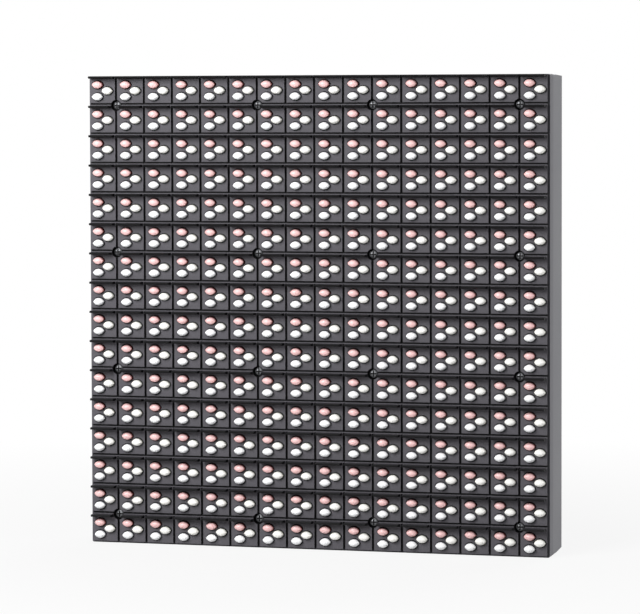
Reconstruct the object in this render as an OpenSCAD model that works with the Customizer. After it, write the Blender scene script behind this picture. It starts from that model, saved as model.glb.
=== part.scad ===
// Outdoor LED display module: a louvred front mask, three-colour lamps in a square grid,
// the circuit board that carries them and the tray that closes the back.
// The lamps face -Y, the module stands upright and its bottom edge is at z = 0.

/* [Display face] */
// Distance between neighbouring pixels, both ways
pixel_pitch = 10; // [10:0.25:11]
// Length of the long axis of a lamp
lamp_w = 3.9; // [3.6:0.1:4]
// Length of the short axis of a lamp
lamp_h = 2.6; // [2.4:0.1:3]
// How far the lamps stand out of the tile faces
lamp_proud = 1.9; // [1.5:0.1:2.4]
// Gap between a lamp and the rim of its hole in the mask
lamp_gap = 0.3; // [0.2:0.05:0.35]

/* [Mask] */
// Thickness of the plate behind the tile faces
mask_t = 2; // [1.8:0.1:2.4]
// Depth of the sun visors in front of the tile faces
visor_depth = 3.4; // [2.8:0.2:5]
// Thickness of a visor where it leaves the plate
visor_root_t = 0.95; // [0.7:0.05:1]
// Thickness of a visor at its front edge
visor_tip_t = 0.75; // [0.5:0.05:0.8]
// Width of the upright grooves between tiles
groove_w = 0.8; // [0.6:0.05:0.9]
// Width of the drain gaps between the visors, in front of those grooves
drain_w = 1.3; // [1:0.05:1.5]
// Depth of the upright grooves behind the tile faces
groove_depth = 1; // [0.8:0.1:1.2]
// Height of the drip groove above each visor
drip_h = 0.6; // [0.4:0.05:0.7]
// Depth of the skirt around the board, from the tile faces
skirt_depth = 7; // [6.8:0.1:7.6]
// Thickness of the skirt
skirt_t = 0.8; // [0.7:0.05:0.9]

/* [Board] */
// Height of a lamp from the board to its tip
lamp_len = 6.4; // [6.2:0.1:7]
// Thickness of the circuit board
board_t = 1.6; // [1.2:0.1:1.6]

/* [Tray] */
// Depth of the module from the tile faces to the back of the tray
module_depth = 24.5; // [23:0.5:27]
// Thickness of the tray's walls and ribs
wall_t = 1.2; // [1.1:0.05:1.3]
// How far each side wall leans in from the seam to the back
draft_in = 0.45; // [0.2:0.05:0.6]
// Width of the flange around the back
flange_w = 9.5; // [9:0.25:10]
// Thickness of that flange
flange_t = 3; // [2.6:0.1:3.4]
// Distance between the mounting inserts, across
mount_span_x = 90; // [86:1:94]

/* [Fixings] */
// Diameter of the head of a mask screw
screw_head_d = 3.1; // [2.8:0.1:3.2]
// Diameter of the shank of a mask screw
screw_d = 1.8; // [1.6:0.1:1.9]
// Nominal thread diameter of the mounting inserts
insert_thread_d = 4; // [4:0.5:5]
// Length of the mounting inserts
insert_len = 8; // [6:0.5:9]

/* [Hidden] */

// Pixels along each side, and the side that they make
pixels = 16;
side = pixels * pixel_pitch;
half = side / 2;
cells = [for (i = [0 : pixels - 1]) (i + 0.5) * pixel_pitch - half];
inner_lines = [for (i = [1 : pixels - 1]) i * pixel_pitch - half];

// Depths along Y, front to back, with the whole module centred on y = 0
seal_proud = 0.5;
total_depth = visor_depth + module_depth + seal_proud;
tile_y = visor_depth - total_depth / 2;
mask_back_y = tile_y + mask_t;
lamp_tip_y = tile_y - lamp_proud;
board_y = lamp_tip_y + lamp_len;
board_back_y = board_y + board_t;
seam_y = tile_y + skirt_depth;
back_y = tile_y + module_depth;
flange_y = back_y - flange_t;

// Lamp places in a pixel, from its middle
red_at = [-1.5, 2.05];
green_at = [2, 0];
blue_at = [-1.5, -2.05];
dome_r = lamp_w / 2 + 0.4;

// Mask details
drip_depth = 0.8;
drip_rise = 0.55;
visor_drop = 0.05;
visor_inset = 0.4;
edge_step_w = 0.65;
edge_step_depth = 1.5;
pocket_r = screw_head_d / 2 + 0.35;
head_sink = 1;
head_h = 1.2;
head_dome_r = 2.6;
spacer_r = 2.2;
corner_r = 0.6;

// Board details
board_gap = 0.1;
board_half = half - skirt_t - board_gap;
board_screw_r = screw_d / 2 + 0.3;

// Mask screws stand on these grid lines, both ways
screw_lines = [-(pixels / 2 - 1), -2, 2, pixels / 2 - 1] * pixel_pitch;
screw_stop = 10;
screw_len = module_depth - screw_stop;
boss_r = 2.6;
pilot_extra = 1;

// Tray details
rib_x = 2 * pixel_pitch;
rib_t = wall_t + 0.4;
seal_w = 2.4;
seal_groove_depth = 1.6;
seal_in = 4;
mouth_r = 3;
mount_z = (pixels / 2 - 1) * pixel_pitch;
insert_r = insert_thread_d / 2 + 0.8;
insert_bore_r = insert_thread_d / 2 - 0.35;
mount_boss_r = insert_r + 1.6;
mount_boss_gap = 1.2;

// Places on the back of the board that lie between the lamp joints
bay_x = red_at[0] + pixel_pitch / 2;
strip_x = (green_at[0] + red_at[0] + pixel_pitch) / 2 - pixel_pitch / 2;
driver_columns = [-6.5, -4.5, -1.5, 0.5, 3.5, 5.5];
driver_row = 4;
capacitor_row = 5;
resistor_row = 3;
buffer_column = -3.5;
decoder_column = -0.5;
decoder_row = 2;
transistor_columns = [-1.5, 0.5];
transistor_rows = [-2, -1, 1, 2];
header_column = 5;
array_column = 4;
array_rows = [-1, 0, 1, 2];
bulk_x = 8;
bulk_row = 6;

// Ribbon header, two rows of eight pins
header_l = 27.9;
header_w = 8.9;
header_h = 9.1;
header_wall = 1.1;
header_floor = 2.2;
header_key_w = 4.4;
header_lift = 0.8;
header_pin_pitch = 2.54;
header_pin_w = 0.64;
header_pin_top = 8;
header_pin_hole_r = 0.5;
header_z = pixel_pitch / 2;

// Power socket, four pins
power_pitch = 3.96;
power_pin_count = 4;
power_w = 8.5;
power_base_h = 3.2;
power_wall_h = 9.6;
power_wall_t = 1.3;
power_pin_r = 0.57;
power_pin_top = 8.6;
power_pin_hole_r = 0.75;
power_l = power_pitch * power_pin_count;

// Chips: body length, body width, body height, span over the leads, leads a side, lead pitch
driver_chip_size = [8.65, 3.9, 1.5, 6, 12, 0.635];
buffer_chip_size = [6.5, 4.4, 1, 6.4, 10, 0.65];
decoder_chip_size = [5, 4.4, 1, 6.4, 8, 0.65];
transistor_size = [4.9, 3.9, 1.5, 6, 4, 1.27];
chip_lift = 0.12;
chip_lead_t = 0.2;
chip_lead_w = 0.3;

// Small parts on the board
bulk_r = 4;
bulk_h = 12;
bung_h = 0.8;
bulk_lead_span = 3.5;
bulk_lead_r = 0.3;
ceramic_size = [1.6, 0.8, 0.8];
resistor_size = [1.6, 0.8, 0.45];
array_size = [3.2, 1.6, 0.5];

$fn = 48;

// A flat outline, drawn across X and up Z, made solid between two depths
module layer(front, back) {
    translate([0, back, half])
        rotate([90, 0, 0])
            linear_extrude(back - front)
                children();
}

// A rectangle about the middle with round corners
module round_square(size, radius) {
    square([size[0] - 2 * radius, size[1]], center = true);
    square([size[0], size[1] - 2 * radius], center = true);
    for (x = [-1, 1], y = [-1, 1])
        translate([x * (size[0] / 2 - radius), y * (size[1] / 2 - radius)])
            circle(radius);
}

// The lamp's oval outline: one wide arc above and one below
module lamp_outline(grow = 0) {
    a = lamp_w / 2 + grow;
    b = lamp_h / 2 + grow;
    arc_r = (a * a + b * b) / (2 * b);
    intersection() {
        translate([0, b - arc_r]) circle(arc_r);
        translate([0, arc_r - b]) circle(arc_r);
    }
}

// Repeats its children at one place in every pixel
module in_every_pixel(at) {
    for (x = cells, z = cells)
        translate([x + at[0], z + at[1]])
            children();
}

module all_lamp_places() {
    in_every_pixel(red_at) children();
    in_every_pixel(green_at) children();
    in_every_pixel(blue_at) children();
}

module screw_places() {
    for (x = screw_lines, z = screw_lines)
        translate([x, z])
            children();
}

// A straight bore along Y between two depths
module bore(radius, front, back) {
    translate([0, back, 0])
        rotate([90, 0, 0])
            cylinder(h = back - front, r = radius);
}

module screw_bores(radius, front, back) {
    for (x = screw_lines, z = screw_lines)
        translate([x, 0, z + half])
            bore(radius, front, back);
}

// Section of one visor, seen from the side: flat top, underside that rises to the front edge
module visor_section() {
    polygon([
        [tile_y + mask_t / 2, 0],
        [tile_y - visor_depth + visor_tip_t / 2, 0],
        [tile_y - visor_depth, -visor_tip_t / 2],
        [tile_y - visor_depth + visor_tip_t / 2, -visor_tip_t],
        [tile_y, -visor_root_t],
        [tile_y + mask_t / 2, -visor_root_t]
    ]);
}

// One visor over each tile, with a drain gap to the next. The outer ones stop short of the
// edge of their tile.
module visors() {
    end_x = half - edge_step_w - visor_inset;
    for (x = cells, z = cells) {
        from_x = max(x - pixel_pitch / 2 + drain_w / 2, -end_x);
        to_x = min(x + pixel_pitch / 2 - drain_w / 2, end_x);
        translate([from_x, 0, z + half + pixel_pitch / 2 - visor_drop])
            rotate([90, 0, 90])
                linear_extrude(to_x - from_x)
                    visor_section();
    }
}

// Upright grooves between the tiles. Each starts in a drip groove, so the ledge between that
// groove and the visor below it stays whole.
module upright_grooves() {
    for (x = inner_lines, i = [0 : pixels - 1])
        translate([x - groove_w / 2, tile_y - 1, i * pixel_pitch + (i > 0 ? drip_rise : -1)])
            cube([
                groove_w,
                1 + groove_depth,
                pixel_pitch - visor_drop - (i > 0 ? drip_rise : -1)
            ]);
}

// A groove above each visor that stops water from creeping up the tile
module drip_grooves() {
    for (z = inner_lines)
        translate([-half - 1, tile_y - 1, z + half + drip_rise - drip_h / 2])
            cube([side + 2, drip_depth + 1, drip_h]);
}

// The tiles stand back a little from the sides and the bottom, so that modules butt neatly
module edge_steps() {
    for (x = [-1, 1])
        translate([x * half - edge_step_w, tile_y - visor_depth - 1, -1])
            cube([2 * edge_step_w, visor_depth + 1 + edge_step_depth, side + 2]);
    translate([-half - 1, tile_y - 1, -1])
        cube([side + 2, edge_step_depth + 1, edge_step_w + 1]);
}

module front_mask() color("dimgray") {
    difference() {
        union() {
            layer(tile_y, mask_back_y)
                difference() {
                    round_square([side, side], corner_r);
                    all_lamp_places() lamp_outline(lamp_gap);
                }
            layer(mask_back_y, seam_y)
                difference() {
                    round_square([side, side], corner_r);
                    square(2 * (half - skirt_t), center = true);
                }
            layer(mask_back_y, board_y)
                screw_places() circle(spacer_r);
            visors();
        }
        upright_grooves();
        drip_grooves();
        edge_steps();
        screw_bores(pocket_r, tile_y - visor_depth - 1, tile_y + head_sink + head_h);
        screw_bores(screw_d / 2 + 0.15, tile_y, board_y + 1);
    }
}

module cross_recess() {
    for (turn = [0, 90])
        rotate(turn)
            translate([-screw_head_d / 3, -0.25, head_h - 0.7])
                cube([screw_head_d / 1.5, 0.5, 1]);
}

module mask_screw() {
    difference() {
        intersection() {
            cylinder(h = head_h, r = screw_head_d / 2);
            translate([0, 0, head_h - head_dome_r]) sphere(head_dome_r, $fn = 64);
        }
        cross_recess();
    }
    translate([0, 0, -screw_len]) cylinder(h = screw_len, r = screw_d / 2);
    translate([0, 0, -screw_len - screw_d / 2]) cylinder(h = screw_d / 2, r1 = 0.2, r2 = screw_d / 2);
}

module mask_screws() color("black") {
    for (x = screw_lines, z = screw_lines)
        translate([x, tile_y + head_sink + head_h, z + half])
            rotate([90, 0, 0])
                mask_screw();
}

// One lamp with its foot on z = 0: an oval post under a round dome
module lamp() {
    arc_r = (lamp_w * lamp_w + lamp_h * lamp_h) / (4 * lamp_h);
    intersection() {
        translate([0, lamp_h / 2 - arc_r, 0]) cylinder(h = lamp_len, r = arc_r);
        translate([0, arc_r - lamp_h / 2, 0]) cylinder(h = lamp_len, r = arc_r);
        union() {
            cylinder(h = lamp_len - dome_r, r = dome_r);
            translate([0, 0, lamp_len - dome_r]) sphere(dome_r);
        }
    }
}

module lamps(at) {
    for (x = cells, z = cells)
        translate([x + at[0], board_y, z + at[1] + half])
            rotate([90, 0, 0])
                lamp();
}

module red_lamps() color("mistyrose") lamps(red_at);

module green_lamps() color("ivory") lamps(green_at);

module blue_lamps() color("azure") lamps(blue_at);

// Pin places of a ribbon header standing upright at one side of the board
module header_pin_places(side_sign) {
    for (i = [0 : 7], column = [-0.5, 0.5])
        translate([
            side_sign * header_column * pixel_pitch + strip_x + column * header_pin_pitch,
            header_z + (i - 3.5) * header_pin_pitch
        ])
            children();
}

module power_pin_places() {
    for (i = [0 : power_pin_count - 1])
        translate([(i - (power_pin_count - 1) / 2) * power_pitch, 0])
            children();
}

module bulk_places() {
    for (x = [-bulk_x, bulk_x], z = [-bulk_row, bulk_row] * pixel_pitch)
        translate([x, z])
            children();
}

module circuit_board() color("darkgreen") {
    layer(board_y, board_back_y)
        difference() {
            square(2 * board_half, center = true);
            screw_places() circle(board_screw_r);
            for (s = [-1, 1]) header_pin_places(s) circle(header_pin_hole_r);
            power_pin_places() circle(power_pin_hole_r);
            bulk_places()
                for (x = [-0.5, 0.5])
                    translate([x * bulk_lead_span, 0])
                        circle(bulk_lead_r + 0.1);
        }
}

// Block with walls that lean in evenly towards the back
module drafted_block(front_half, y_from, y_to) {
    lean = atan(draft_in / (back_y - seam_y));
    difference() {
        layer(y_from, y_to) round_square([2 * front_half, 2 * front_half], corner_r);
        for (turn = [0 : 90 : 270])
            translate([0, seam_y, half])
                rotate([0, turn, 0])
                    translate([front_half, 0, 0])
                        rotate([0, 0, lean])
                            translate([0, -side, -side])
                                cube(2 * side);
    }
}

module back_tray() color("dimgray") {
    difference() {
        union() {
            difference() {
                drafted_block(half, seam_y, back_y);
                drafted_block(half - wall_t, seam_y - 1, flange_y);
                layer(flange_y - 1, back_y + 1)
                    round_square([side - 2 * flange_w, side - 2 * flange_w], mouth_r);
            }
            for (x = [-rib_x, rib_x])
                translate([x - rib_t / 2, board_back_y, wall_t])
                    cube([rib_t, back_y - board_back_y, side - 2 * wall_t]);
            for (x = [-1, 1], z = [-1, 1]) {
                translate([0, 0, half + z * 2 * pixel_pitch - rib_t / 2])
                    mirror([x < 0 ? 1 : 0, 0, 0])
                        translate([7 * pixel_pitch, board_back_y + 1, 0])
                            cube([pixel_pitch - wall_t, back_y - board_back_y - 1, rib_t]);
            }
            screw_bores(boss_r, board_back_y, back_y);
            for (x = [-1, 1], z = [-1, 1])
                translate([x * mount_span_x / 2, 0, half + z * mount_z])
                    bore(mount_boss_r, board_back_y + mount_boss_gap, back_y);
        }
        screw_bores(screw_d / 2, board_back_y - 1, tile_y + head_sink + head_h + screw_len + pilot_extra);
        for (x = [-1, 1], z = [-1, 1])
            translate([x * mount_span_x / 2, 0, half + z * mount_z])
                bore(insert_r, back_y - insert_len, back_y + 1);
        layer(back_y - seal_groove_depth, back_y + 1) seal_outline();
    }
}

// Plan of the ring that the seal and its groove share
module seal_outline() {
    outer = 2 * (half - draft_in - wall_t - 1);
    difference() {
        round_square([outer, outer], seal_in);
        round_square([outer - 2 * seal_w, outer - 2 * seal_w], seal_in - seal_w);
    }
}

module seal_ring() color("black") {
    layer(back_y - seal_groove_depth, back_y + seal_proud) seal_outline();
}

module mount_inserts() color("goldenrod") {
    for (x = [-1, 1], z = [-1, 1])
        translate([x * mount_span_x / 2, 0, half + z * mount_z])
            difference() {
                bore(insert_r, back_y - insert_len, back_y);
                bore(insert_bore_r, back_y - insert_len - 1, back_y + 1);
            }
}

// Puts its children on the back of the board, their z pointing away from it
module on_board(x, z) {
    translate([x, board_back_y, z + half])
        rotate([-90, 0, 0])
            children();
}

// Shrouded header with an open top and a key slot in the side that faces the board's middle
module header_body(key_side) {
    difference() {
        translate([-header_w / 2, -header_l / 2, header_lift])
            cube([header_w, header_l, header_h]);
        translate([
            -header_w / 2 + header_wall,
            -header_l / 2 + header_wall,
            header_lift + header_floor
        ])
            cube([header_w - 2 * header_wall, header_l - 2 * header_wall, header_h]);
        translate([
            key_side * (header_w / 2 - header_wall / 2) - header_wall,
            -header_key_w / 2,
            header_lift + header_floor
        ])
            cube([2 * header_wall, header_key_w, header_h]);
        for (i = [0 : 7], column = [-0.5, 0.5])
            translate([column * header_pin_pitch, (i - 3.5) * header_pin_pitch, header_lift + header_floor / 2])
                cube([header_pin_w, header_pin_w, 2 * header_floor], center = true);
    }
    for (y = [-1, 1])
        translate([-header_w / 2, y * (header_l / 2 - 0.5) - 0.5, 0])
            cube([header_w / 2 - 1.8, 1, header_lift]);
}

module header_at(side_sign) {
    on_board(side_sign * header_column * pixel_pitch + strip_x, header_z)
        children();
}

module header_pins() {
    for (i = [0 : 7], column = [-0.5, 0.5])
        translate([
            column * header_pin_pitch - header_pin_w / 2,
            (i - 3.5) * header_pin_pitch - header_pin_w / 2,
            -board_t
        ])
            cube([header_pin_w, header_pin_w, board_t + header_pin_top]);
}

module data_in_header() color("#202020") header_at(-1) header_body(1);

module data_in_pins() color("gold") header_at(-1) header_pins();

module data_out_header() color("#202020") header_at(1) header_body(-1);

module data_out_pins() color("gold") header_at(1) header_pins();

// Open socket with a low base, a tall latch wall and a round pin on every pitch
module power_socket() color("ivory") {
    on_board(0, 0)
        difference() {
            union() {
                translate([-power_l / 2, -power_w / 2, header_lift])
                    cube([power_l, power_w, power_base_h]);
                translate([-power_l / 2, -power_w / 2, header_lift])
                    cube([power_l, power_wall_t, power_wall_h]);
            }
            for (x = [-1.5, -0.5, 0.5, 1.5] * power_pitch)
                translate([x, 0, 0]) cylinder(h = 2 * power_base_h, r = power_pin_r);
            for (x = [-1, 0, 1] * power_pitch)
                translate([x - 0.4, -power_w / 2 - 1, header_lift + power_base_h + 1.2])
                    cube([0.8, power_wall_t + 2, power_wall_h]);
        }
}

module power_pins() color("silver") {
    on_board(0, 0)
        for (x = [-1.5, -0.5, 0.5, 1.5] * power_pitch)
            translate([x, 0, -board_t]) {
                cylinder(h = board_t + power_pin_top - 0.4, r = power_pin_r);
                translate([0, 0, board_t + power_pin_top - 0.4])
                    cylinder(h = 0.4, r1 = power_pin_r, r2 = power_pin_r - 0.3);
            }
}

// Chip body standing along y, with its corner mark sunk beside the first lead
module chip_body(size) {
    difference() {
        translate([-size[1] / 2, -size[0] / 2, chip_lift])
            cube([size[1], size[0], size[2]]);
        translate([-size[1] / 2 + 0.8, -size[0] / 2 + 0.8, chip_lift + size[2] - 0.1])
            cylinder(h = 1, r = 0.3);
    }
}

// Two rows of leads that come out of the body and slope down to the board
module chip_leads(size) {
    reach = (size[3] - size[1]) / 2;
    lead_z = chip_lift + size[2] / 2;
    for (turn = [0, 180], i = [0 : size[4] - 1])
        rotate(turn)
            translate([size[1] / 2, (i - (size[4] - 1) / 2) * size[5] + chip_lead_w / 2, 0])
                rotate([90, 0, 0])
                    linear_extrude(chip_lead_w)
                        polygon([
                            [0, lead_z + chip_lead_t / 2],
                            [reach, chip_lead_t],
                            [reach, 0],
                            [0, lead_z - chip_lead_t / 2]
                        ]);
}

module driver_places() {
    for (column = driver_columns, row = [-driver_row, driver_row])
        on_board(column * pixel_pitch + bay_x, row * pixel_pitch)
            children();
}

module buffer_places() {
    for (row = [-1, 1])
        on_board(buffer_column * pixel_pitch + bay_x, row * pixel_pitch)
            children();
}

module decoder_place() {
    on_board(decoder_column * pixel_pitch + bay_x, decoder_row * pixel_pitch)
        children();
}

module transistor_places() {
    for (column = transistor_columns, row = transistor_rows)
        on_board(column * pixel_pitch + bay_x, row * pixel_pitch)
            children();
}

module driver_chips() color("#202124") driver_places() chip_body(driver_chip_size);

module driver_chip_leads() color("silver") driver_places() chip_leads(driver_chip_size);

module buffer_chips() color("#202124") buffer_places() chip_body(buffer_chip_size);

module buffer_chip_leads() color("silver") buffer_places() chip_leads(buffer_chip_size);

module decoder_chip() color("#202124") decoder_place() chip_body(decoder_chip_size);

module decoder_chip_leads() color("silver") decoder_place() chip_leads(decoder_chip_size);

module row_transistors() color("#202124") transistor_places() chip_body(transistor_size);

module row_transistor_leads() color("silver") transistor_places() chip_leads(transistor_size);

// Can with the rolled-in groove near its foot
module bulk_can() {
    difference() {
        cylinder(h = bulk_h, r = bulk_r);
        translate([0, 0, 1.6])
            rotate_extrude()
                translate([bulk_r + 0.2, 0])
                    circle(0.5, $fn = 24);
        for (turn = [0, 90])
            rotate(turn)
                translate([-bulk_r + 1, -0.1, bulk_h - 0.15])
                    cube([2 * bulk_r - 2, 0.2, 1]);
    }
}

module bulk_capacitors() color("#2b2f3a") {
    bulk_places_on_board() translate([0, 0, bung_h]) bulk_can();
}

module bulk_capacitor_bungs() color("#303030") {
    bulk_places_on_board() {
        cylinder(h = bung_h, r = bulk_lead_span / 2 + bulk_lead_r + 0.25);
        for (x = [-0.5, 0.5])
            translate([x * bulk_lead_span, 0, -board_t])
                cylinder(h = board_t + bung_h / 2, r = bulk_lead_r);
    }
}

module bulk_places_on_board() {
    for (x = [-bulk_x, bulk_x], row = [-bulk_row, bulk_row])
        on_board(x, row * pixel_pitch)
            children();
}

// Small block part with its length across the module
module block_part(size) {
    translate([-size[0] / 2, -size[1] / 2, 0]) cube(size);
}

module ceramic_capacitors() color("tan") {
    for (column = driver_columns, row = [-capacitor_row, capacitor_row])
        on_board(column * pixel_pitch + bay_x, row * pixel_pitch)
            block_part(ceramic_size);
}

module chip_resistors() color("#303030") {
    for (column = driver_columns, row = [-resistor_row, resistor_row])
        on_board(column * pixel_pitch + bay_x, row * pixel_pitch)
            block_part(resistor_size);
}

module resistor_arrays() color("#303030") {
    for (x = [-array_column, array_column], row = array_rows)
        on_board(x * pixel_pitch, row * pixel_pitch)
            block_part(array_size);
}

front_mask();
mask_screws();
red_lamps();
green_lamps();
blue_lamps();
circuit_board();
back_tray();
seal_ring();
mount_inserts();
data_in_header();
data_in_pins();
data_out_header();
data_out_pins();
power_socket();
power_pins();
driver_chips();
driver_chip_leads();
buffer_chips();
buffer_chip_leads();
decoder_chip();
decoder_chip_leads();
row_transistors();
row_transistor_leads();
bulk_capacitors();
bulk_capacitor_bungs();
ceramic_capacitors();
chip_resistors();
resistor_arrays();
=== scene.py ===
"""Looks of an outdoor LED display module: louvred mask, oval lamps, board and tray."""

import math

import bpy
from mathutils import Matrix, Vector


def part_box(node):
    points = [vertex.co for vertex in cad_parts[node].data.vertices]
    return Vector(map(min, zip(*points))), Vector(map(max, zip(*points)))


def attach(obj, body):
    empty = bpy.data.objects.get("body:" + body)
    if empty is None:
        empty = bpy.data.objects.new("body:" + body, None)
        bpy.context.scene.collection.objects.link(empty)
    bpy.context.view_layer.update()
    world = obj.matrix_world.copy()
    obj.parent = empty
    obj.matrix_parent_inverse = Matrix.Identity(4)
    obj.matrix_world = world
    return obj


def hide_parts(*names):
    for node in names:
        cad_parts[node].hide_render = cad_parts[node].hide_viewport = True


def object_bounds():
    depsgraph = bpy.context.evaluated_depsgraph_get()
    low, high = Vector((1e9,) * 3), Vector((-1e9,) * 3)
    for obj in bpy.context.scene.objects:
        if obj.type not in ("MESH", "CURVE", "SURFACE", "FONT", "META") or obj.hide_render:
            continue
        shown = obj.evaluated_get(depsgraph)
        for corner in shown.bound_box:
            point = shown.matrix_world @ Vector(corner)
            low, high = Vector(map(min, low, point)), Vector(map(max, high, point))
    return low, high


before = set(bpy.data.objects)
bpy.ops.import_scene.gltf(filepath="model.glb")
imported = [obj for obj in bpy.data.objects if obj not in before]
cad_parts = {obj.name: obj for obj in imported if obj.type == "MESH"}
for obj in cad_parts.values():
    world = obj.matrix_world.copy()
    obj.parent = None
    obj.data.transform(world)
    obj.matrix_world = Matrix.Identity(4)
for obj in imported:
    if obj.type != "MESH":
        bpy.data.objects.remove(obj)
cad_low, cad_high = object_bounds()
MM = 0.001


# Camera: a long lens about a metre away, level with the module's top and to its right.
# Its place comes from the perspective of the 768 lamps and the edges in the photograph.
# The photograph's uprights hardly converge, so the lens is shifted down a little.
camera_place = (274.1 * MM, -1015.0 * MM, 150.5 * MM)
camera_tilt, camera_roll, camera_turn = 87.19, 0.17, 15.16
sensor_w = 36
lens_length = 174.6
lens_shift = -0.08
nearest_seen = 0.05

bpy.ops.object.camera_add(
    location=camera_place,
    rotation=[math.radians(a) for a in (camera_tilt, camera_roll, camera_turn)],
)
camera = bpy.context.object
camera.data.sensor_width = sensor_w
camera.data.lens = lens_length
camera.data.shift_y = lens_shift
camera.data.clip_start = nearest_seen
bpy.context.scene.camera = camera
bpy.context.scene.view_settings.view_transform = "Standard"


# Floor and light: a white studio table that fades into a white background,
# with broad soft boxes in front, above and to the right.
def paint(code):
    """Linear colour of an sRGB hex value."""
    parts = [int(code[i : i + 2], 16) / 255 for i in (1, 3, 5)]
    return (
        *(p / 12.92 if p <= 0.04045 else ((p + 0.055) / 1.055) ** 2.4 for p in parts),
        1,
    )


def add_node(tree, kind, inputs=None, **settings):
    """Adds a node, sets its attributes and fills its inputs with values or other sockets."""
    made = tree.nodes.new(kind)
    for name, value in settings.items():
        setattr(made, name, value)
    for name, value in (inputs or {}).items():
        if isinstance(value, bpy.types.NodeSocket):
            tree.links.new(value, made.inputs[name])
        else:
            made.inputs[name].default_value = value
    return made


def new_finish(name):
    """A new material with its tree and its shader."""
    finish = bpy.data.materials.new(name)
    finish.use_nodes = True
    return finish, finish.node_tree, finish.node_tree.nodes["Principled BSDF"]


floor_half = 3.0
fade_near, fade_far = 0.1, 0.35
least_glow = 0.88
bpy.ops.mesh.primitive_plane_add(size=2 * floor_half, location=(0, 0, cad_low.z))
floor = bpy.context.object
floor.name = "studio_floor"
floor_finish, tree, shader = new_finish("white table paint")
shader.inputs["Base Color"].default_value = paint("#c4c4c4")
shader.inputs["Roughness"].default_value = 0.9
place = add_node(tree, "ShaderNodeTexCoord")
reach = add_node(tree, "ShaderNodeVectorMath", {0: place.outputs["Object"]}, operation="LENGTH")
fade = add_node(
    tree,
    "ShaderNodeMapRange",
    {
        "Value": reach.outputs["Value"],
        "From Min": fade_near,
        "From Max": fade_far,
        "To Min": least_glow,
    },
)
path = add_node(tree, "ShaderNodeLightPath")
looked = add_node(
    tree,
    "ShaderNodeMath",
    {0: path.outputs["Is Camera Ray"], 1: path.outputs["Is Glossy Ray"]},
    operation="MAXIMUM",
)
looked = add_node(
    tree,
    "ShaderNodeMath",
    {0: looked.outputs["Value"], 1: path.outputs["Is Transmission Ray"]},
    operation="MAXIMUM",
)
seen = add_node(
    tree,
    "ShaderNodeMath",
    {0: looked.outputs["Value"], 1: fade.outputs["Result"]},
    operation="MULTIPLY",
)
white = add_node(tree, "ShaderNodeEmission", {"Color": (1, 1, 1, 1), "Strength": 1.0})
mix = add_node(
    tree,
    "ShaderNodeMixShader",
    {0: seen.outputs["Value"], 1: shader.outputs["BSDF"], 2: white.outputs["Emission"]},
)
tree.links.new(mix.outputs["Shader"], tree.nodes["Material Output"].inputs["Surface"])
floor.data.materials.append(floor_finish)

room_light = 0.16
world = bpy.data.worlds.new("studio")
bpy.context.scene.world = world
world.use_nodes = True
tree = world.node_tree
tree.nodes.clear()
path = add_node(tree, "ShaderNodeLightPath")
looked = add_node(
    tree,
    "ShaderNodeMath",
    {0: path.outputs["Is Camera Ray"], 1: path.outputs["Is Glossy Ray"]},
    operation="MAXIMUM",
)
looked = add_node(
    tree,
    "ShaderNodeMath",
    {0: looked.outputs["Value"], 1: path.outputs["Is Transmission Ray"]},
    operation="MAXIMUM",
)
level = add_node(
    tree,
    "ShaderNodeMapRange",
    {"Value": looked.outputs["Value"], "To Min": room_light, "To Max": 1.0},
)
air = add_node(
    tree, "ShaderNodeBackground", {"Color": (1, 1, 1, 1), "Strength": level.outputs["Result"]}
)
add_node(tree, "ShaderNodeOutputWorld", {"Surface": air.outputs["Background"]})


def soft_box(name, place, size, power, aim):
    """A square soft box at a place, aimed at a point."""
    bpy.ops.object.light_add(type="AREA", location=place)
    box = bpy.context.object
    box.name = name
    box.data.size = size
    box.data.energy = power
    box.rotation_euler = (Vector(aim) - Vector(place)).to_track_quat("-Z", "Y").to_euler()


middle = (0, 0, (cad_low.z + cad_high.z) / 2)
# each box has its name, place, the length of its sides and its power in watts
soft_box("key_box", (-0.2, -0.42, 0.32), 0.3, 3.3, middle)
soft_box("side_box", (1.3, -0.16, 0.3), 0.9, 5.2, middle)
soft_box("back_box", (0.3, 1.3, 0.9), 0.9, 11, middle)


# Front mask: one moulding in charcoal glass-filled polycarbonate with a finely etched face.
# The face is grey. Painted shade turns the grooves and the fronts and undersides of the visors
# near black, and the visors' tops, lit from above, a dark grey. Painted shade darkens the narrow
# step round the front, and painted light makes the side walls paler.
def dress(node, finish):
    """Gives a CAD node its finish."""
    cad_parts[node].data.materials.clear()
    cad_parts[node].data.materials.append(finish)


side = cad_high.x - cad_low.x
lamp_low, lamp_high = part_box("green_lamps")
lamp_proud = 1.9 * MM
tile_y = lamp_low.y + lamp_proud
edge_step_w = 0.65 * MM
# how far below and above the tile faces the painted shade is full, the width of a blend
# between two tones, and how far from an edge its painted tone starts
full_sunk, full_proud = 0.5 * MM, 0.3 * MM
blend_w = 0.05 * MM
tile_skin, step_skin, side_skin = 0.02 * MM, 0.02 * MM, 0.1 * MM
face_grey, recess_shade_black, side_light_grey = "#565459", "#08080a", "#77767b"
visor_top_shade_grey, step_shade_grey = "#343337", "#4a494e"
grain_size = 0.3 * MM
mask_finish, tree, shader = new_finish("charcoal etched polycarbonate")
where = add_node(tree, "ShaderNodeTexCoord")
axes = add_node(tree, "ShaderNodeSeparateXYZ", {0: where.outputs["Object"]})
facing = add_node(tree, "ShaderNodeSeparateXYZ", {0: where.outputs["Normal"]})
grain = add_node(
    tree,
    "ShaderNodeTexNoise",
    {"Vector": where.outputs["Object"], "Scale": 1 / grain_size, "Detail": 2.0},
)
mottle = add_node(
    tree,
    "ShaderNodeMapRange",
    {
        "Value": grain.outputs["Fac"],
        "From Min": 0.3,
        "From Max": 0.7,
        "To Min": 0.84,
        "To Max": 1.14,
    },
)
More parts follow.
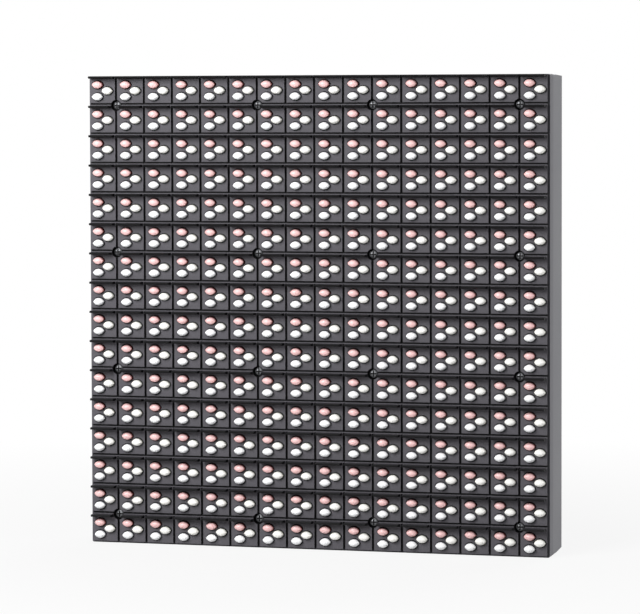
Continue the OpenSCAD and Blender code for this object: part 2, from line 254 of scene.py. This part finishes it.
etched = add_node(
    tree,
    "ShaderNodeMixRGB",
    {"Fac": 1.0, "Color1": paint(face_grey), "Color2": mottle.outputs["Result"]},
    blend_type="MULTIPLY",
)
# Painted shade: surfaces sunk below the tile face darken to near black.
sunk = add_node(
    tree,
    "ShaderNodeMapRange",
    {"Value": axes.outputs["Y"], "From Min": tile_y + tile_skin, "From Max": tile_y + full_sunk},
)
etched_with_groove_shade = add_node(
    tree,
    "ShaderNodeMixRGB",
    {
        "Fac": sunk.outputs["Result"],
        "Color1": etched.outputs["Color"],
        "Color2": paint(recess_shade_black),
    },
)
# Painted shade: on the visors, faces turned up are dark grey and fronts and undersides near
# black.
is_top = add_node(
    tree,
    "ShaderNodeMapRange",
    {"Value": facing.outputs["Z"], "From Min": 0.85, "From Max": 0.95},
)
visor_painted_shade = add_node(
    tree,
    "ShaderNodeMixRGB",
    {
        "Fac": is_top.outputs["Result"],
        "Color1": paint(recess_shade_black),
        "Color2": paint(visor_top_shade_grey),
    },
)
proud = add_node(
    tree,
    "ShaderNodeMapRange",
    {"Value": axes.outputs["Y"], "From Min": tile_y - blend_w, "From Max": tile_y - full_proud},
)
tone_with_painted_light = add_node(
    tree,
    "ShaderNodeMixRGB",
    {
        "Fac": proud.outputs["Result"],
        "Color1": etched_with_groove_shade.outputs["Color"],
        "Color2": visor_painted_shade.outputs["Color"],
    },
)
off_middle = add_node(
    tree,
    "ShaderNodeVectorMath",
    {0: where.outputs["Object"], 1: (0, 0, side / 2)},
    operation="SUBTRACT",
)
off_middle = add_node(
    tree, "ShaderNodeVectorMath", {0: off_middle.outputs["Vector"]}, operation="ABSOLUTE"
)
off_middle = add_node(tree, "ShaderNodeSeparateXYZ", {0: off_middle.outputs["Vector"]})
reach = add_node(
    tree,
    "ShaderNodeMath",
    {0: off_middle.outputs["X"], 1: off_middle.outputs["Z"]},
    operation="MAXIMUM",
)
behind = add_node(
    tree,
    "ShaderNodeMapRange",
    {"Value": axes.outputs["Y"], "From Min": tile_y - blend_w, "From Max": tile_y + blend_w},
)
# Painted shade darkens the step round the front, and painted light makes the side walls paler.
painted_rims = (
    (side / 2 - edge_step_w - step_skin, step_shade_grey),
    (side / 2 - side_skin, side_light_grey),
)
for start, tone in painted_rims:
    outside = add_node(
        tree,
        "ShaderNodeMapRange",
        {"Value": reach.outputs["Value"], "From Min": start, "From Max": start + blend_w},
    )
    share = add_node(
        tree,
        "ShaderNodeMath",
        {0: outside.outputs["Result"], 1: behind.outputs["Result"]},
        operation="MULTIPLY",
    )
    tone_with_painted_light = add_node(
        tree,
        "ShaderNodeMixRGB",
        {"Fac": share.outputs["Value"], "Color1": tone_with_painted_light.outputs["Color"], "Color2": paint(tone)},
    )
bump = add_node(
    tree,
    "ShaderNodeBump",
    {"Strength": 0.3, "Distance": 0.04 * MM, "Height": grain.outputs["Fac"]},
)
tree.links.new(tone_with_painted_light.outputs["Color"], shader.inputs["Base Color"])
tree.links.new(bump.outputs["Normal"], shader.inputs["Normal"])
shader.inputs["Roughness"].default_value = 0.6
shader.inputs["IOR"].default_value = 1.45
shader.inputs["Specular IOR Level"].default_value = 0.2
dress("front_mask", mask_finish)


# Mask screws: self-tapping, pan head with a cross recess, steel with a black oxide film.
# The crown of the head nearest the front is bare grey as a painted highlight, broken up by
# scuffs.
screw_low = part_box("mask_screws")[0]
highlight_start_depth, highlight_full_depth = 0.45 * MM, 0.15 * MM
scuff_size = 0.6 * MM
screw_finish, tree, shader = new_finish("black oxide steel")
where = add_node(tree, "ShaderNodeTexCoord")
axes = add_node(tree, "ShaderNodeSeparateXYZ", {0: where.outputs["Object"]})
# Painted highlight: the crown of each head turns grey, broken up by scuffs.
crown_highlight = add_node(
    tree,
    "ShaderNodeMapRange",
    {
        "Value": axes.outputs["Y"],
        "From Min": screw_low.y + highlight_start_depth,
        "From Max": screw_low.y + highlight_full_depth,
    },
)
scuffs = add_node(
    tree,
    "ShaderNodeTexNoise",
    {"Vector": where.outputs["Object"], "Scale": 1 / scuff_size, "Detail": 3.0},
)
scuffed = add_node(
    tree,
    "ShaderNodeMapRange",
    {"Value": scuffs.outputs["Fac"], "From Min": 0.2, "From Max": 0.5, "To Min": 0.5},
)
highlight_share = add_node(
    tree,
    "ShaderNodeMath",
    {0: crown_highlight.outputs["Result"], 1: scuffed.outputs["Result"]},
    operation="MULTIPLY",
)
metal = add_node(
    tree,
    "ShaderNodeMixRGB",
    {"Fac": highlight_share.outputs["Value"], "Color1": paint("#121214"), "Color2": paint("#77787b")},
)
tree.links.new(metal.outputs["Color"], shader.inputs["Base Color"])
shader.inputs["Metallic"].default_value = 0.7
shader.inputs["Roughness"].default_value = 0.45
dress("mask_screws", screw_finish)


# Lamps: through-hole oval lamps cast in milky epoxy, a straight body under a soft dome.
# One is modelled in its first place and laid out by the pixel pitch, once for each colour.
# The dome is almost white, and painted shade darkens its shoulder and makes the body's wall
# dark.
pixels = 16
pitch = side / pixels
lamp_w = lamp_high.x - lamp_low.x - (pixels - 1) * pitch
lamp_h = lamp_high.z - lamp_low.z - (pixels - 1) * pitch
dome_len = 1.3 * MM
seam_gap = 0.001 * MM
arc_steps = 12
# The last ring stops this share of a step short of the tip and leaves a small face there.
dome_rings, tip_share = 5, 0.3


def repeat_along(piece, axis, step, count):
    """Lays a piece out in a row along X (0) or Z (2)."""
    repeat = piece.modifiers.new("repeat", "ARRAY")
    repeat.use_relative_offset = False
    repeat.use_constant_offset = True
    repeat.constant_offset_displace = [step if i == axis else 0 for i in range(3)]
    repeat.count = count
    bpy.ops.object.modifier_apply(modifier=repeat.name)


def model_lamp(name, low, high):
    """The first lamp of a colour, its dome towards -Y, and then the whole grid of them."""
    bpy.ops.object.select_all(action="DESELECT")
    middle_x, middle_z = low.x + lamp_w / 2, low.z + lamp_h / 2
    foot, shoulder = high.y, low.y + dome_len
    arc_r = (lamp_w**2 + lamp_h**2) / (4 * lamp_h)
    arc_angle = 2 * math.asin(lamp_w / 2 / arc_r)
    bpy.ops.mesh.primitive_plane_add(size=MM, location=(0, 0, 0))
    lamp = bpy.context.object
    lamp.name = name
    bpy.ops.object.mode_set(mode="EDIT")
    bpy.ops.mesh.select_mode(type="VERT")
    bpy.ops.mesh.select_all(action="SELECT")
    bpy.ops.mesh.merge(type="CENTER")
    bpy.ops.transform.translate(value=(middle_x - lamp_w / 2, foot, middle_z))
    for rise in (1, -1):
        bpy.ops.mesh.spin(
            steps=arc_steps,
            angle=-arc_angle,
            center=(middle_x, foot, middle_z + rise * (lamp_h / 2 - arc_r)),
            axis=(0, 1, 0),
        )
    bpy.ops.mesh.select_all(action="SELECT")
    bpy.ops.mesh.remove_doubles(threshold=seam_gap)
    bpy.ops.mesh.edge_face_add()
    bpy.ops.mesh.extrude_region_move(
        TRANSFORM_OT_translate={"value": (0, shoulder - foot, 0)}
    )
    last_angle = dome_rings / (dome_rings + tip_share) * math.pi / 2
    width, height = 1.0, 0.0
    for ring in range(1, dome_rings + 1):
        angle = last_angle * ring / dome_rings
        step = dome_len * math.sin(angle) / math.sin(last_angle)
        bpy.ops.mesh.extrude_region_move(
            TRANSFORM_OT_translate={"value": (0, height - step, 0)}
        )
        shrink = math.cos(angle) / width
        bpy.ops.transform.resize(
            value=(shrink, 1, shrink),
            orient_type="GLOBAL",
            center_override=(middle_x, shoulder - step, middle_z),
        )
        width, height = math.cos(angle), step
    bpy.ops.mesh.select_all(action="SELECT")
    bpy.ops.mesh.normals_make_consistent(inside=False)
    bpy.ops.object.mode_set(mode="OBJECT")
    bpy.ops.object.shade_smooth_by_angle(angle=math.radians(45))
    repeat_along(lamp, 0, pitch, pixels)
    repeat_along(lamp, 2, pitch, pixels)
    return lamp


pale_share = 0.45
shoulder_blend, wall_blend = 0.02 * MM, 0.15 * MM
milk_depth = 0.8 * MM
# colour name, tint of the dome's middle, painted shade of its shoulder and painted shade of the
# body's wall
lamp_tints_and_shades = (
    ("red", "#f2c7c6", "#933a35", "#47100e"),
    ("green", "#fdfcf6", "#ecece2", "#4c504a"),
    ("blue", "#fcfdff", "#ebedf0", "#4a4d52"),
)
for colour_name, dome_tint, shoulder_shade, wall_shade in lamp_tints_and_shades:
    node = colour_name + "_lamps"
    lenses = model_lamp(colour_name + "_lenses", *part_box(node))
    lens_finish, tree, shader = new_finish("milky epoxy, " + colour_name)
    where = add_node(tree, "ShaderNodeTexCoord")
    axes = add_node(tree, "ShaderNodeSeparateXYZ", {0: where.outputs["Object"]})
    # Painted shade: the dome darkens towards its shoulder, and the body's wall is dark.
    shoulder = lamp_low.y + dome_len
    shoulder_shade_share = add_node(
        tree,
        "ShaderNodeMapRange",
        {
            "Value": axes.outputs["Y"],
            "From Min": lamp_low.y + pale_share * dome_len,
            "From Max": shoulder - shoulder_blend,
        },
    )
    wall_shade_share = add_node(
        tree,
        "ShaderNodeMapRange",
        {"Value": axes.outputs["Y"], "From Min": shoulder, "From Max": shoulder + wall_blend},
    )
    dome_with_shoulder_shade = add_node(
        tree,
        "ShaderNodeMixRGB",
        {
            "Fac": shoulder_shade_share.outputs["Result"],
            "Color1": paint(dome_tint),
            "Color2": paint(shoulder_shade),
        },
    )
    tint_with_painted_shade = add_node(
        tree,
        "ShaderNodeMixRGB",
        {
            "Fac": wall_shade_share.outputs["Result"],
            "Color1": dome_with_shoulder_shade.outputs["Color"],
            "Color2": paint(wall_shade),
        },
    )
    tree.links.new(tint_with_painted_shade.outputs["Color"], shader.inputs["Base Color"])
    shader.inputs["Subsurface Weight"].default_value = 0.25
    shader.inputs["Subsurface Radius"].default_value = (1, 1, 1)
    shader.inputs["Subsurface Scale"].default_value = milk_depth
    shader.inputs["Roughness"].default_value = 0.35
    shader.inputs["IOR"].default_value = 1.5
    lenses.data.materials.clear()
    lenses.data.materials.append(lens_finish)
    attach(lenses, "root")
    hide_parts(node)


# Back tray: moulded in the same plastic as the mask. Its lighter grey matches the mask's side
# walls and is painted light, with a soft, even grain. Sixteen screws through the board hold it.
def mottled_finish(name, dark, light, patch, grain_size, relief):
    """A new material that wanders between two tones and has a fine grain in its surface."""
    finish, tree, shader = new_finish(name)
    where = add_node(tree, "ShaderNodeTexCoord")
    flow = add_node(
        tree,
        "ShaderNodeTexNoise",
        {"Vector": where.outputs["Object"], "Scale": 1 / patch, "Detail": 2.0},
    )
    share = add_node(
        tree,
        "ShaderNodeMapRange",
        {"Value": flow.outputs["Fac"], "From Min": 0.3, "From Max": 0.7},
    )
    tone = add_node(
        tree,
        "ShaderNodeMixRGB",
        {"Fac": share.outputs["Result"], "Color1": paint(dark), "Color2": paint(light)},
    )
    grain = add_node(
        tree,
        "ShaderNodeTexNoise",
        {"Vector": where.outputs["Object"], "Scale": 1 / grain_size, "Detail": 2.0},
    )
    bump = add_node(
        tree,
        "ShaderNodeBump",
        {"Strength": 0.3, "Distance": relief, "Height": grain.outputs["Fac"]},
    )
    tree.links.new(tone.outputs["Color"], shader.inputs["Base Color"])
    tree.links.new(bump.outputs["Normal"], shader.inputs["Normal"])
    return finish, tree, shader


# Painted light: the tray's grey is as pale as the mask's lit side walls.
tray_finish, tree, shader = mottled_finish(
    "grey moulded polycarbonate", "#727277", "#7a7a7e", 40 * MM, grain_size, 0.04 * MM
)
shader.inputs["Roughness"].default_value = 0.6
shader.inputs["IOR"].default_value = 1.45
dress("back_tray", tray_finish)


# Seal: a ring of black silicone cord pressed into the groove round the tray's flange.
# It has a dry, slightly dusty surface.
seal_finish, tree, shader = mottled_finish(
    "black silicone rubber", "#19191a", "#262627", 6 * MM, 0.2 * MM, 0.03 * MM
)
shader.inputs["Roughness"].default_value = 0.8
dress("seal_ring", seal_finish)


# Mounting inserts: turned brass, pressed hot into the tray's four bosses.
# Their end faces carry the fine rings that the lathe leaves.
insert_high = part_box("mount_inserts")[1]
insert_r = 2.8 * MM
ring_pitch = 0.15 * MM
insert_finish, tree, shader = new_finish("turned brass")
where = add_node(tree, "ShaderNodeTexCoord")
quarter = add_node(
    tree,
    "ShaderNodeVectorMath",
    {0: where.outputs["Object"], 1: (0, 0, side / 2)},
    operation="SUBTRACT",
)
quarter = add_node(
    tree, "ShaderNodeVectorMath", {0: quarter.outputs["Vector"]}, operation="ABSOLUTE"
)
from_axis = add_node(
    tree,
    "ShaderNodeVectorMath",
    {
        0: quarter.outputs["Vector"],
        1: (insert_high.x - insert_r, insert_high.y, insert_high.z - side / 2 - insert_r),
    },
    operation="SUBTRACT",
)
rings = add_node(
    tree,
    "ShaderNodeTexWave",
    {
        "Vector": from_axis.outputs["Vector"],
        "Scale": math.pi / 10 / ring_pitch,
        "Distortion": 0.4,
    },
    wave_type="RINGS",
    rings_direction="Y",
)
bump = add_node(
    tree,
    "ShaderNodeBump",
    {"Strength": 0.3, "Distance": 0.02 * MM, "Height": rings.outputs["Fac"]},
)
tree.links.new(bump.outputs["Normal"], shader.inputs["Normal"])
shader.inputs["Base Color"].default_value = paint("#c9a45f")
shader.inputs["Metallic"].default_value = 1.0
shader.inputs["Roughness"].default_value = 0.3
dress("mount_inserts", insert_finish)


# Circuit board: glass-epoxy laminate under green solder mask. The copper tracks show
# through the mask as paler lines that stand up by the thickness of the foil.
track_pitch = 1.27 * MM
track_share = 0.45
field_size = 9 * MM
foil_t = 0.035 * MM
board_finish, tree, shader = new_finish("green solder mask")
where = add_node(tree, "ShaderNodeTexCoord")
axes = add_node(tree, "ShaderNodeSeparateXYZ", {0: where.outputs["Object"]})
lines = []
for axis in ("X", "Z"):
    count = add_node(
        tree, "ShaderNodeMath", {0: axes.outputs[axis], 1: track_pitch}, operation="DIVIDE"
    )
    part = add_node(tree, "ShaderNodeMath", {0: count.outputs["Value"]}, operation="FRACT")
    lines.append(
        add_node(
            tree,
            "ShaderNodeMath",
            {0: part.outputs["Value"], 1: track_share},
            operation="LESS_THAN",
        )
    )
fields = add_node(
    tree,
    "ShaderNodeTexVoronoi",
    {"Vector": where.outputs["Object"], "Scale": 1 / field_size, "Randomness": 0.6},
    distance="CHEBYCHEV",
)
draw = add_node(tree, "ShaderNodeSeparateColor", {0: fields.outputs["Color"]})
upright = add_node(
    tree, "ShaderNodeMath", {0: draw.outputs["Red"], 1: 0.5}, operation="GREATER_THAN"
)
tracked = add_node(
    tree, "ShaderNodeMath", {0: draw.outputs["Green"], 1: 0.3}, operation="GREATER_THAN"
)
track = add_node(
    tree,
    "ShaderNodeMix",
    {0: upright.outputs["Value"], 2: lines[1].outputs["Value"], 3: lines[0].outputs["Value"]},
)
copper = add_node(
    tree,
    "ShaderNodeMath",
    {0: track.outputs[0], 1: tracked.outputs["Value"]},
    operation="MULTIPLY",
)
green = add_node(
    tree,
    "ShaderNodeMixRGB",
    {"Fac": copper.outputs["Value"], "Color1": paint("#10402a"), "Color2": paint("#1d5c38")},
)
bump = add_node(
    tree,
    "ShaderNodeBump",
    {"Strength": 0.5, "Distance": foil_t, "Height": copper.outputs["Value"]},
)
tree.links.new(green.outputs["Color"], shader.inputs["Base Color"])
tree.links.new(bump.outputs["Normal"], shader.inputs["Normal"])
shader.inputs["Roughness"].default_value = 0.32
shader.inputs["IOR"].default_value = 1.5
dress("circuit_board", board_finish)


# Lamp joints: each lamp's two leads are trimmed behind the board and wave soldered,
# which leaves a small bright cone round each lead end.
joint_r, joint_h, lead_end_h = 0.5 * MM, 0.45 * MM, 0.9 * MM
cone_taper, end_taper = 0.45, 0.8
lamp_lead_span = 2.54 * MM
board_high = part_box("circuit_board")[1]
solder_finish, tree, shader = mottled_finish(
    "wave-soldered tin", "#b3b5b8", "#d0d1d3", 1.5 * MM, 0.15 * MM, 0.02 * MM
)
shader.inputs["Metallic"].default_value = 0.55
shader.inputs["Roughness"].default_value = 0.4
places = []
for colour_name in ("red", "green", "blue"):
    low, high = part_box(colour_name + "_lamps")
    for turn in (-0.5, 0.5):
        places.append((low.x + lamp_w / 2 + turn * lamp_lead_span, low.z + lamp_h / 2))
bpy.ops.object.select_all(action="DESELECT")
bpy.ops.mesh.primitive_circle_add(
    vertices=6,
    radius=joint_r,
    fill_type="NGON",
    location=(places[0][0], board_high.y, places[0][1]),
    rotation=(-math.pi / 2, 0, 0),
)
joints = bpy.context.object
joints.name = "lamp_joints"
bpy.ops.object.transform_apply(location=True, rotation=True, scale=True)
bpy.ops.object.mode_set(mode="EDIT")
bpy.ops.mesh.select_all(action="SELECT")
for height, width in ((joint_h, cone_taper), (lead_end_h - joint_h, end_taper)):
    bpy.ops.mesh.extrude_region_move(TRANSFORM_OT_translate={"value": (0, height, 0)})
    bpy.ops.transform.resize(
        value=(width, 1, width),
        orient_type="GLOBAL",
        center_override=(places[0][0], board_high.y, places[0][1]),
    )
bpy.ops.mesh.select_all(action="SELECT")
for start, end in zip(places, places[1:]):
    bpy.ops.mesh.duplicate_move(
        TRANSFORM_OT_translate={"value": (end[0] - start[0], 0, end[1] - start[1])}
    )
bpy.ops.mesh.select_all(action="SELECT")
bpy.ops.mesh.normals_make_consistent(inside=False)
bpy.ops.object.mode_set(mode="OBJECT")
bpy.ops.object.shade_smooth_by_angle(angle=math.radians(70))
repeat_along(joints, 0, pitch, pixels)
repeat_along(joints, 2, pitch, pixels)
joints.data.materials.append(solder_finish)
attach(joints, "root")


# Ribbon headers: two shrouded sockets of sixteen pins, moulded in black glass-filled nylon.
# The square pins have tapered tips with a gold flash and are pressed into the moulding.
pin_w, pin_pitch, pin_taper = 0.64 * MM, 2.54 * MM, 0.6 * MM
pin_rows, pin_columns = 8, 2
pin_tip_share = 0.45
nylon_finish, tree, shader = mottled_finish(
    "black glass-filled nylon", "#141416", "#1d1d1f", 3 * MM, 0.15 * MM, 0.03 * MM
)
shader.inputs["Roughness"].default_value = 0.5
gold_finish, tree, shader = mottled_finish(
    "gold flash over nickel", "#d2a755", "#e3bd6e", 1 * MM, 0.1 * MM, 0.01 * MM
)
shader.inputs["Metallic"].default_value = 1.0
shader.inputs["Roughness"].default_value = 0.25
for way in ("in", "out"):
    dress("data_%s_header" % way, nylon_finish)
    node = "data_%s_pins" % way
    low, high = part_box(node)
    middle_x, middle_z = low.x + pin_w / 2, low.z + pin_w / 2
    bpy.ops.object.select_all(action="DESELECT")
    bpy.ops.mesh.primitive_plane_add(
        size=pin_w, location=(middle_x, low.y, middle_z), rotation=(-math.pi / 2, 0, 0)
    )
    pins = bpy.context.object
    pins.name = "data_%s_contacts" % way
    bpy.ops.object.transform_apply(location=True, rotation=True, scale=True)
    bpy.ops.object.mode_set(mode="EDIT")
    bpy.ops.mesh.select_all(action="SELECT")
    for length in (high.y - low.y - pin_taper, pin_taper):
        bpy.ops.mesh.extrude_region_move(TRANSFORM_OT_translate={"value": (0, length, 0)})
    bpy.ops.transform.resize(
        value=(pin_tip_share, 1, pin_tip_share),
        orient_type="GLOBAL",
        center_override=(middle_x, high.y, middle_z),
    )
    bpy.ops.mesh.select_all(action="SELECT")
    bpy.ops.mesh.normals_make_consistent(inside=False)
    bpy.ops.object.mode_set(mode="OBJECT")
    repeat_along(pins, 0, pin_pitch, pin_columns)
    repeat_along(pins, 2, pin_pitch, pin_rows)
    pins.data.materials.append(gold_finish)
    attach(pins, "root")
    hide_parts(node)


# Power socket: an open base with a latch wall in natural nylon, and four round tinned pins.
socket_finish, tree, shader = mottled_finish(
    "natural nylon", "#ddd8c8", "#e8e4d6", 8 * MM, 0.3 * MM, 0.02 * MM
)
shader.inputs["Roughness"].default_value = 0.4
dress("power_socket", socket_finish)
tin_finish, tree, shader = mottled_finish(
    "bright tin plate", "#c3c4c5", "#d7d8d8", 0.8 * MM, 0.1 * MM, 0.01 * MM
)
shader.inputs["Metallic"].default_value = 1.0
shader.inputs["Roughness"].default_value = 0.28
dress("power_pins", tin_finish)


# Chips: drivers, buffers, a decoder and row transistors, moulded in black epoxy with a fine
# spark-eroded grain. Their tinned leads bend down to flat feet that are soldered to the board.
chip_finish, tree, shader = mottled_finish(
    "moulded black epoxy", "#1b1b1d", "#242426", 1.2 * MM, 0.08 * MM, 0.02 * MM
)
shader.inputs["Roughness"].default_value = 0.55
for node in ("driver_chips", "buffer_chips", "decoder_chip", "row_transistors"):
    dress(node, chip_finish)
lead_w, lead_t = 0.3 * MM, 0.2 * MM
so_body_half, so_reach, so_root_h = 1.95 * MM, 3.0 * MM, 0.87 * MM
tssop_body_half, tssop_reach, tssop_root_h = 2.2 * MM, 3.2 * MM, 0.62 * MM
bend_drop = 0.1 * MM
# node, half of the body's width, reach of a lead, height of its root, leads a side, their
# pitch, and where the chips stand, in mm: across, from the module's middle, and up
lead_sets = (
    (
        "driver_chip_leads", so_body_half, so_reach, so_root_h, 12, 0.635 * MM,
        (-61.5, -41.5, -11.5, 8.5, 38.5, 58.5), (40, 120),
    ),
    (
        "buffer_chip_leads", tssop_body_half, tssop_reach, tssop_root_h, 10, 0.65 * MM,
        (-31.5,), (70, 90),
    ),
    (
        "decoder_chip_leads", tssop_body_half, tssop_reach, tssop_root_h, 8, 0.65 * MM,
        (-1.5,), (100,),
    ),
    (
        "row_transistor_leads", so_body_half, so_reach, so_root_h, 4, 1.27 * MM,
        (-11.5, 8.5), (60, 70, 90, 100),
    ),
)
for node, body_half, lead_reach, root_h, count, lead_pitch, across, up in lead_sets:
    places = [(x * MM, z * MM) for x in across for z in up]
    middle_x, middle_z = places[0]
    low_z = middle_z - (count - 1) / 2 * lead_pitch - lead_w / 2
    run = lead_reach - body_half
    # a lead leaves the body level, bends down at its shoulder and ends in a flat foot
    path = (
        (0.28 * run, 0),
        (0.12 * run, -bend_drop),
        (0.1 * run, lead_t - root_h + bend_drop),
        (0.1 * run, -bend_drop),
        (0.4 * run, 0),
    )
    bpy.ops.object.select_all(action="DESELECT")
    bpy.ops.mesh.primitive_plane_add(size=MM, location=(0, 0, 0))
    leads = bpy.context.object
    leads.name = node.replace("leads", "bent_leads")
    bpy.ops.object.mode_set(mode="EDIT")
    bpy.ops.mesh.select_mode(type="VERT")
    bpy.ops.mesh.select_all(action="SELECT")
    bpy.ops.mesh.merge(type="CENTER")
    bpy.ops.transform.translate(value=(middle_x + body_half, board_high.y + root_h, low_z))
    for out, rise in path:
        bpy.ops.mesh.extrude_vertices_move(TRANSFORM_OT_translate={"value": (out, rise, 0)})
    bpy.ops.mesh.select_all(action="SELECT")
    bpy.ops.mesh.extrude_edges_move(TRANSFORM_OT_translate={"value": (0, 0, lead_w)})
    bpy.ops.object.mode_set(mode="OBJECT")
    thick = leads.modifiers.new("thick", "SOLIDIFY")
    thick.thickness = lead_t
    thick.offset = 0
    bpy.ops.object.modifier_apply(modifier=thick.name)
    repeat_along(leads, 2, lead_pitch, count)
    bpy.ops.object.mode_set(mode="EDIT")
    bpy.ops.mesh.select_all(action="SELECT")
    bpy.ops.mesh.duplicate()
    bpy.ops.transform.resize(
        value=(-1, 1, 1),
        orient_type="GLOBAL",
        center_override=(middle_x, board_high.y, middle_z),
    )
    bpy.ops.mesh.select_all(action="SELECT")
    for start, end in zip(places, places[1:]):
        bpy.ops.mesh.duplicate_move(
            TRANSFORM_OT_translate={"value": (end[0] - start[0], 0, end[1] - start[1])}
        )
    bpy.ops.mesh.select_all(action="SELECT")
    bpy.ops.mesh.normals_make_consistent(inside=False)
    bpy.ops.object.mode_set(mode="OBJECT")
    leads.data.materials.append(tin_finish)
    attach(leads, "root")
    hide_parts(node)


# Bulk capacitors: four aluminium cans in a shrunk dark sleeve with a pale stripe down the
# negative side. The bare vented end shows inside the sleeve's rim, and rubber bungs close them.
can_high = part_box("bulk_capacitors")[1]
can_r = 4 * MM
sleeve_rim = 0.6 * MM
stripe_start = 0.8 * can_r
can_finish, tree, shader = new_finish("printed sleeve over aluminium")
where = add_node(tree, "ShaderNodeTexCoord")
quarter = add_node(
    tree,
    "ShaderNodeVectorMath",
    {0: where.outputs["Object"], 1: (0, 0, side / 2)},
    operation="SUBTRACT",
)
quarter = add_node(
    tree, "ShaderNodeVectorMath", {0: quarter.outputs["Vector"]}, operation="ABSOLUTE"
)
from_axis = add_node(
    tree,
    "ShaderNodeVectorMath",
    {0: quarter.outputs["Vector"], 1: (can_high.x - can_r, 0, can_high.z - side / 2 - can_r)},
    operation="SUBTRACT",
)
flat = add_node(
    tree,
    "ShaderNodeVectorMath",
    {0: from_axis.outputs["Vector"], 1: (1, 0, 1)},
    operation="MULTIPLY",
)
off_axis = add_node(
    tree, "ShaderNodeVectorMath", {0: flat.outputs["Vector"]}, operation="LENGTH"
)
inside = add_node(
    tree,
    "ShaderNodeMath",
    {0: off_axis.outputs["Value"], 1: can_r - sleeve_rim},
    operation="LESS_THAN",
)
axes = add_node(tree, "ShaderNodeSeparateXYZ", {0: from_axis.outputs["Vector"]})
striped = add_node(
    tree, "ShaderNodeMath", {0: axes.outputs["X"], 1: stripe_start}, operation="GREATER_THAN"
)
sleeve = add_node(
    tree,
    "ShaderNodeMixRGB",
    {"Fac": striped.outputs["Value"], "Color1": paint("#1c2236"), "Color2": paint("#a9adb5")},
)
tone = add_node(
    tree,
    "ShaderNodeMixRGB",
    {
        "Fac": inside.outputs["Value"],
        "Color1": sleeve.outputs["Color"],
        "Color2": paint("#c6c7c9"),
    },
)
tree.links.new(tone.outputs["Color"], shader.inputs["Base Color"])
tree.links.new(inside.outputs["Value"], shader.inputs["Metallic"])
shader.inputs["Roughness"].default_value = 0.35
dress("bulk_capacitors", can_finish)
bung_finish, tree, shader = mottled_finish(
    "butyl rubber", "#1f1f20", "#2b2b2c", 2 * MM, 0.15 * MM, 0.03 * MM
)
shader.inputs["Roughness"].default_value = 0.75
dress("bulk_capacitor_bungs", bung_finish)


# Small chip parts: ceramic capacitors beside the drivers, glazed resistors and resistor
# arrays. Each stands on the board by the tinned ends of its body, four a side on the arrays.
bare_len = 1.0 * MM
beside_pixel = 8.5 * MM
tooth_pitch = 0.8 * MM
# node, finish, colour of the body, its middle in the pixel grid, the way between its ends
# and the way across them, and the pitch and share of the ends along that way
small_parts = (
    ("ceramic_capacitors", "fired tan ceramic", "#8b6a45", beside_pixel, "XZ", pitch, 1.0),
    ("chip_resistors", "glazed chip resistor", "#232326", beside_pixel, "XZ", pitch, 1.0),
    ("resistor_arrays", "glazed resistor array", "#26262a", 0, "ZX", tooth_pitch, 0.6),
)
for node, name, body_tone, grid_place, ways, end_pitch, end_share in small_parts:
    part_finish, tree, shader = new_finish(name)
    where = add_node(tree, "ShaderNodeTexCoord")
    axes = add_node(tree, "ShaderNodeSeparateXYZ", {0: where.outputs["Object"]})
    along = add_node(
        tree,
        "ShaderNodeMath",
        {0: axes.outputs[ways[0]], 1: grid_place - pitch / 2},
        operation="SUBTRACT",
    )
    along = add_node(
        tree, "ShaderNodeMath", {0: along.outputs["Value"], 1: pitch}, operation="FLOORED_MODULO"
    )
    along = add_node(
        tree, "ShaderNodeMath", {0: along.outputs["Value"], 1: pitch / 2}, operation="SUBTRACT"
    )
    along = add_node(tree, "ShaderNodeMath", {0: along.outputs["Value"]}, operation="ABSOLUTE")
    at_end = add_node(
        tree,
        "ShaderNodeMath",
        {0: along.outputs["Value"], 1: bare_len / 2},
        operation="GREATER_THAN",
    )
    across = add_node(
        tree,
        "ShaderNodeMath",
        {0: axes.outputs[ways[1]], 1: end_pitch},
        operation="FLOORED_MODULO",
    )
    at_tooth = add_node(
        tree,
        "ShaderNodeMath",
        {0: across.outputs["Value"], 1: end_share * end_pitch},
        operation="LESS_THAN",
    )
    tinned = add_node(
        tree,
        "ShaderNodeMath",
        {0: at_end.outputs["Value"], 1: at_tooth.outputs["Value"]},
        operation="MULTIPLY",
    )
    tone = add_node(
        tree,
        "ShaderNodeMixRGB",
        {"Fac": tinned.outputs["Value"], "Color1": paint(body_tone), "Color2": paint("#cfd0d1")},
    )
    tree.links.new(tone.outputs["Color"], shader.inputs["Base Color"])
    tree.links.new(tinned.outputs["Value"], shader.inputs["Metallic"])
    shader.inputs["Roughness"].default_value = 0.35
    dress(node, part_finish)
